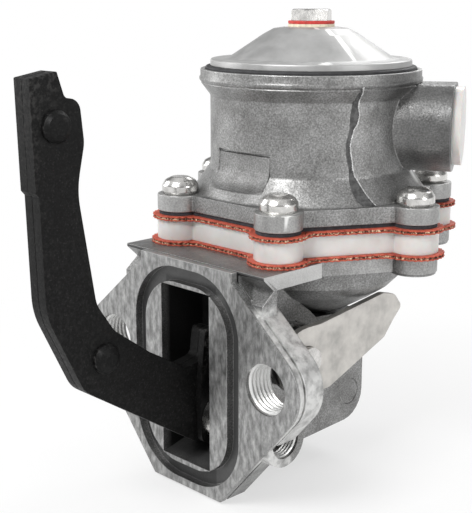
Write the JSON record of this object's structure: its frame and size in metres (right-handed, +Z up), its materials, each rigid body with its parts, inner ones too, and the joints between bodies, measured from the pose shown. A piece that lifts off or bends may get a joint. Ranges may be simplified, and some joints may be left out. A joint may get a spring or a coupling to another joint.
{
  "type": "mechanical fuel pump",
  "caption": "Cam-driven diaphragm fuel pump with a bent rocker arm, lobed flange stack, domed top cover, side ports and a hand primer lever.",
  "frame": {"origin": "middle between the two fixing holes, on the face of the mounting flange", "axes": "-Y out of the mounting face towards the engine, +Y into the pump, +Z up along the pump axis, +X along the line of the fixing holes"},
  "size_m": [0.0896, 0.1333, 0.1244],
  "materials": {
    "cast_alloy": "as cast, mottled, machined joint faces",
    "cover_metal": "pressed, satin",
    "black_rubber": "moulded, dull",
    "plated_steel": "bright zinc plate",
    "spring_steel": "drawn wire",
    "red_fibre": "pressed fibre",
    "cream_fibre": "pressed fibre",
    "brass": "turned",
    "gasket_paper": "dark blue-grey sheet",
    "coated_fabric": "rubber-coated fabric, cut edges show the weave",
    "clear_plastic": "milky translucent",
    "black_steel": "black oxide, worn at the bend",
    "zinc_steel": "dull zinc plate"
  },
  "bodies": {
    "pump_body": {"lower_housing": "cast_alloy", "upper_housing": "cast_alloy", "top_cover": "cover_metal", "cover_seal": "black_rubber", "rod_seal": "black_rubber", "cover_bolt": "plated_steel", "flange_screws": "plated_steel", "pivot_pin": "plated_steel", "distance_bushes": "plated_steel", "spring_washer": "plated_steel", "inlet_valve_spring": "spring_steel", "outlet_valve_spring": "spring_steel", "diaphragm_spring": "spring_steel", "rocker_spring": "spring_steel", "primer_spring": "spring_steel", "red_washer": "red_fibre", "cream_washer": "cream_fibre", "strainer": "brass", "inlet_valve_cage": "brass", "outlet_valve_cage": "brass", "flange_gasket": "gasket_paper", "upper_diaphragm": "coated_fabric", "lower_diaphragm": "coated_fabric", "spacer_ring": "clear_plastic", "outlet_plug": "clear_plastic", "inlet_plug": "clear_plastic"},
    "rocker": {"arm_plate_left": "black_steel", "arm_plate_right": "black_steel", "arm_rivets": "black_steel", "arm_bush": "brass"},
    "link": {"link": "black_steel"},
    "pull_rod": {"pull_rod": "plated_steel", "upper_plate": "plated_steel", "lower_plate": "plated_steel", "spool": "clear_plastic", "rod_nut": "plated_steel"},
    "inlet_valve": {"inlet_valve_disc": "black_rubber"},
    "outlet_valve": {"outlet_valve_disc": "black_rubber"},
    "primer": {"primer_lever": "zinc_steel", "primer_shaft": "plated_steel"}
  },
  "joints": [
    {"name": "rocker_pivot", "type": "hinge", "parent": "pump_body", "child": "rocker", "pos_m": [0, 0.007, -0.0152], "axis": [1, 0, 0], "range_deg": [-6, 0], "stiffness_Nm_per_rad": 4, "springref_deg": 11.46, "deforming": ["rocker_spring"]},
    {"name": "link_pivot", "type": "hinge", "parent": "pump_body", "child": "link", "pos_m": [0, 0.007, -0.0152], "axis": [1, 0, 0], "range_deg": [-6, 0]},
    {"name": "rod_slide", "type": "slide", "parent": "pump_body", "child": "pull_rod", "axis": [0, 0, 1], "range_m": [-0.0044, 0], "stiffness_N_per_m": 600, "springref_m": 0.004, "deforming": ["diaphragm_spring", "upper_diaphragm", "lower_diaphragm"]},
    {"name": "inlet_valve_lift", "type": "slide", "parent": "pump_body", "child": "inlet_valve", "axis": [0, 0, -1], "range_m": [0, 0.0011], "stiffness_N_per_m": 150, "springref_m": -0.002, "deforming": ["inlet_valve_spring"]},
    {"name": "outlet_valve_lift", "type": "slide", "parent": "pump_body", "child": "outlet_valve", "axis": [0, 0, 1], "range_m": [0, 0.0011], "stiffness_N_per_m": 150, "springref_m": -0.002, "deforming": ["outlet_valve_spring"]},
    {"name": "primer_pivot", "type": "hinge", "parent": "pump_body", "child": "primer", "pos_m": [0, 0.0214, 0.0007], "axis": [1, 0, 0], "range_deg": [-30, 0], "stiffness_Nm_per_rad": 0.15, "springref_deg": 34.38, "deforming": ["primer_spring"]}
  ],
  "couplings": [
    {"joint": "link_pivot", "follows": "rocker_pivot", "ratio": 1},
    {"joint": "rod_slide", "follows": "rocker_pivot", "m_per_rad": 0.0403}
  ]
}
